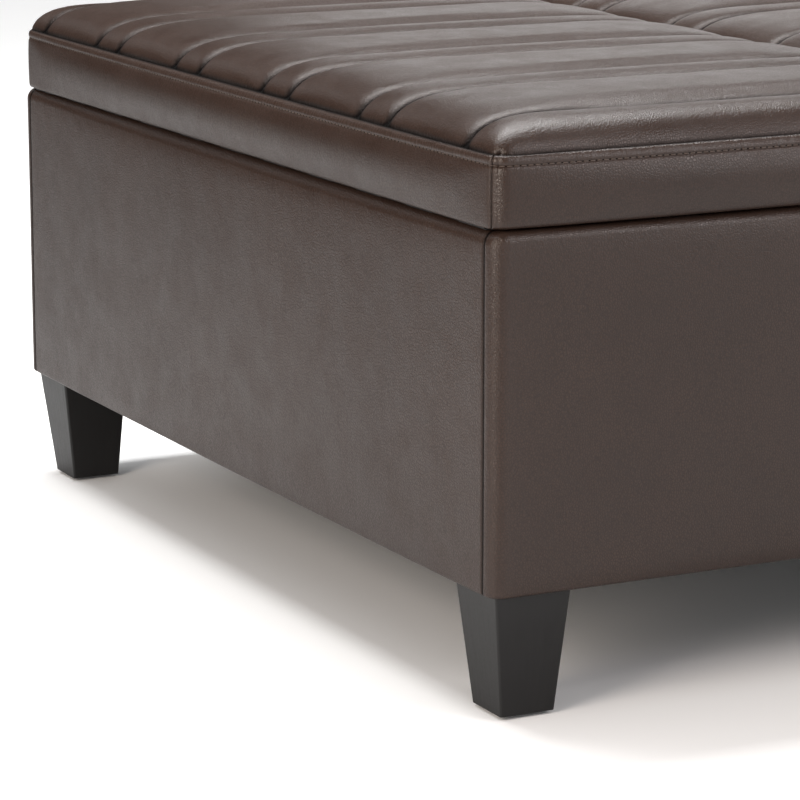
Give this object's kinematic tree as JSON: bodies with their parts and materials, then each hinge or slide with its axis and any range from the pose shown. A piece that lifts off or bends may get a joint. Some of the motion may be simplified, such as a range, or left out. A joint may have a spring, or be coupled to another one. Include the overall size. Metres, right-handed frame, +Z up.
{
  "type": "storage ottoman",
  "caption": "Large square upholstered storage ottoman with channel-stitched padded lids that hinge open at the outer edges over a lined box on tapered legs.",
  "frame": {"origin": "on the floor under the middle of the ottoman", "axes": "+Z up, X across the two lids, Y along the lids, front is -Y and left is -X"},
  "size_m": [0.95, 0.914, 0.45],
  "materials": {
    "dark_brown_leather": "dark brown faux leather, fine pebble grain, semi-gloss",
    "black_leg_wood": "black stained wood, satin lacquer",
    "glide_plastic": "black nylon glide",
    "zinc_steel": "zinc plated steel",
    "black_steel": "black finished steel hinge",
    "lining_fabric": "dark woven lining",
    "dust_cover_fabric": "black nonwoven dust cover",
    "foam": "upholstery foam, hidden",
    "bumper_rubber": "soft rubber",
    "frame_wood": "plain sawn softwood, hidden",
    "panel_board": "plain plywood, hidden"
  },
  "bodies": {
    "box": {"centre_rail": "frame_wood", "corner_blocks": "frame_wood", "cover_back": "dark_brown_leather", "cover_front": "dark_brown_leather", "cover_left": "dark_brown_leather", "cover_right": "dark_brown_leather", "dust_cover": "dust_cover_fabric", "floor_board": "panel_board", "floor_cleats": "frame_wood", "hinge_left_box_leaf": "black_steel", "hinge_left_pin": "zinc_steel", "hinge_right_box_leaf": "black_steel", "hinge_right_pin": "zinc_steel", "leg_back_left": "black_leg_wood", "leg_back_right": "black_leg_wood", "leg_bolts": "zinc_steel", "leg_front_left": "black_leg_wood", "leg_front_right": "black_leg_wood", "leg_glides": "glide_plastic", "leg_tee_nuts": "zinc_steel", "lid_bumpers": "bumper_rubber", "lining_floor": "lining_fabric", "lining_walls": "lining_fabric", "panel_back": "panel_board", "panel_front": "panel_board", "panel_left": "panel_board", "panel_right": "panel_board", "rail_brackets": "zinc_steel", "screws_box": "zinc_steel", "stay_plates": "zinc_steel"},
    "lid_left": {"hinge_left_lid_leaf": "black_steel", "lid_left_board": "panel_board", "lid_left_foam": "foam", "lid_left_side_cover": "dark_brown_leather", "lid_left_top_cover": "dark_brown_leather", "lid_left_under_liner": "lining_fabric", "screws_lid_left": "zinc_steel", "stay_brackets_left": "zinc_steel"},
    "lid_right": {"hinge_right_lid_leaf": "black_steel", "lid_right_board": "panel_board", "lid_right_foam": "foam", "lid_right_side_cover": "dark_brown_leather", "lid_right_top_cover": "dark_brown_leather", "lid_right_under_liner": "lining_fabric", "screws_lid_right": "zinc_steel", "stay_brackets_right": "zinc_steel"},
    "stay_arm_left_back": {"stay_arm_left_back": "zinc_steel"},
    "stay_arm_left_front": {"stay_arm_left_front": "zinc_steel"},
    "stay_arm_right_back": {"stay_arm_right_back": "zinc_steel"},
    "stay_arm_right_front": {"stay_arm_right_front": "zinc_steel"},
    "stay_link_left_back": {"stay_link_left_back": "zinc_steel"},
    "stay_link_left_front": {"stay_link_left_front": "zinc_steel"},
    "stay_link_right_back": {"stay_link_right_back": "zinc_steel"},
    "stay_link_right_front": {"stay_link_right_front": "zinc_steel"}
  },
  "joints": [
    {"name": "lid_left_hinge", "type": "hinge", "parent": "box", "child": "lid_left", "pos_m": [-0.4705, 0, 0.369], "axis": [0, -1, 0], "range_deg": [0, 85]},
    {"name": "stay_arm_left_front_pivot", "type": "hinge", "parent": "box", "child": "stay_arm_left_front", "pos_m": [-0.4355, -0.42645, 0.324], "axis": [0, -1, 0], "range_deg": [0, 85]},
    {"name": "stay_link_left_front_pivot", "type": "hinge", "parent": "lid_left", "child": "stay_link_left_front", "pos_m": [-0.3205, -0.42365, 0.349], "axis": [0, -1, 0], "range_deg": [-85, 0]},
    {"name": "stay_arm_left_back_pivot", "type": "hinge", "parent": "box", "child": "stay_arm_left_back", "pos_m": [-0.4355, 0.42645, 0.324], "axis": [0, -1, 0], "range_deg": [0, 85]},
    {"name": "stay_link_left_back_pivot", "type": "hinge", "parent": "lid_left", "child": "stay_link_left_back", "pos_m": [-0.3205, 0.42365, 0.349], "axis": [0, -1, 0], "range_deg": [-85, 0]},
    {"name": "lid_right_hinge", "type": "hinge", "parent": "box", "child": "lid_right", "pos_m": [0.4705, 0, 0.369], "axis": [0, 1, 0], "range_deg": [0, 85]},
    {"name": "stay_arm_right_front_pivot", "type": "hinge", "parent": "box", "child": "stay_arm_right_front", "pos_m": [0.4355, -0.42645, 0.324], "axis": [0, 1, 0], "range_deg": [0, 85]},
    {"name": "stay_link_right_front_pivot", "type": "hinge", "parent": "lid_right", "child": "stay_link_right_front", "pos_m": [0.3205, -0.42365, 0.349], "axis": [0, 1, 0], "range_deg": [-85, 0]},
    {"name": "stay_arm_right_back_pivot", "type": "hinge", "parent": "box", "child": "stay_arm_right_back", "pos_m": [0.4355, 0.42645, 0.324], "axis": [0, 1, 0], "range_deg": [0, 85]},
    {"name": "stay_link_right_back_pivot", "type": "hinge", "parent": "lid_right", "child": "stay_link_right_back", "pos_m": [0.3205, 0.42365, 0.349], "axis": [0, 1, 0], "range_deg": [-85, 0]}
  ],
  "couplings": [
    {"joint": "stay_arm_left_front_pivot", "follows": "lid_left_hinge", "ratio": 1},
    {"joint": "stay_link_left_front_pivot", "follows": "lid_left_hinge", "ratio": -1},
    {"joint": "stay_arm_left_back_pivot", "follows": "lid_left_hinge", "ratio": 1},
    {"joint": "stay_link_left_back_pivot", "follows": "lid_left_hinge", "ratio": -1},
    {"joint": "stay_arm_right_front_pivot", "follows": "lid_right_hinge", "ratio": 1},
    {"joint": "stay_link_right_front_pivot", "follows": "lid_right_hinge", "ratio": -1},
    {"joint": "stay_arm_right_back_pivot", "follows": "lid_right_hinge", "ratio": 1},
    {"joint": "stay_link_right_back_pivot", "follows": "lid_right_hinge", "ratio": -1}
  ]
}
